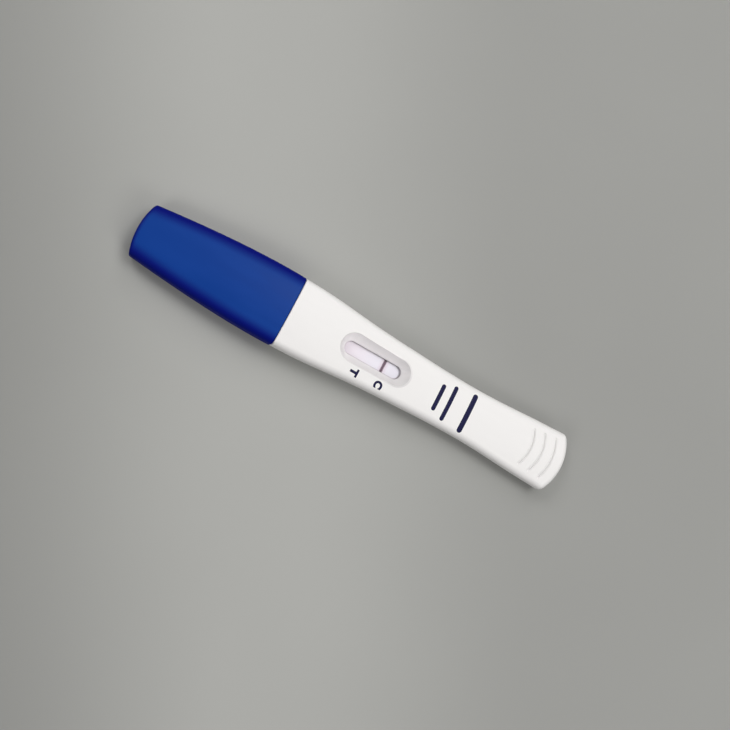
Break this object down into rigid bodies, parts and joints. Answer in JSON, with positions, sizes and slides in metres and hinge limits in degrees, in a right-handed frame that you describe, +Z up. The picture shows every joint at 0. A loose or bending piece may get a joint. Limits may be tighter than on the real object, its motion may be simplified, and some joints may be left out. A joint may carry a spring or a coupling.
{
  "type": "lateral flow test stick",
  "caption": "Pen-shaped lateral flow test stick with a push-on blue cap, a waisted white two-shell casing, a result window and a grooved thumb end.",
  "frame": {"origin": "on the surface that the stick lies on, under the middle of the closed stick", "axes": "+X along the stick from the cap's tip to the thumb end, +Y across, +Z up out of the result window"},
  "size_m": [0.14, 0.0208, 0.0092],
  "materials": {
    "cap_plastic": "satin royal blue moulded polypropylene",
    "casing_plastic": "satin white moulded polystyrene",
    "wick_fibre": "bonded white polyester fibre",
    "card_plastic": "white vinyl card",
    "sample_fibre": "white glass fibre mat",
    "conjugate_fibre": "glass fibre mat with a dried pinkish label",
    "membrane_film": "smooth white membrane with one dark maroon line",
    "absorbent_paper": "thick white cotton blotting paper"
  },
  "bodies": {
    "stick": {"upper_shell": "casing_plastic", "lower_shell": "casing_plastic", "sample_wick": "wick_fibre", "backing_card": "card_plastic", "sample_pad": "sample_fibre", "conjugate_pad": "conjugate_fibre", "membrane": "membrane_film", "absorbent_pad": "absorbent_paper"},
    "cap": {"cap": "cap_plastic"}
  },
  "joints": [
    {"name": "cap_pull", "type": "slide", "parent": "stick", "child": "cap", "axis": [-1, 0, 0], "range_m": [0, 0.045]}
  ]
}
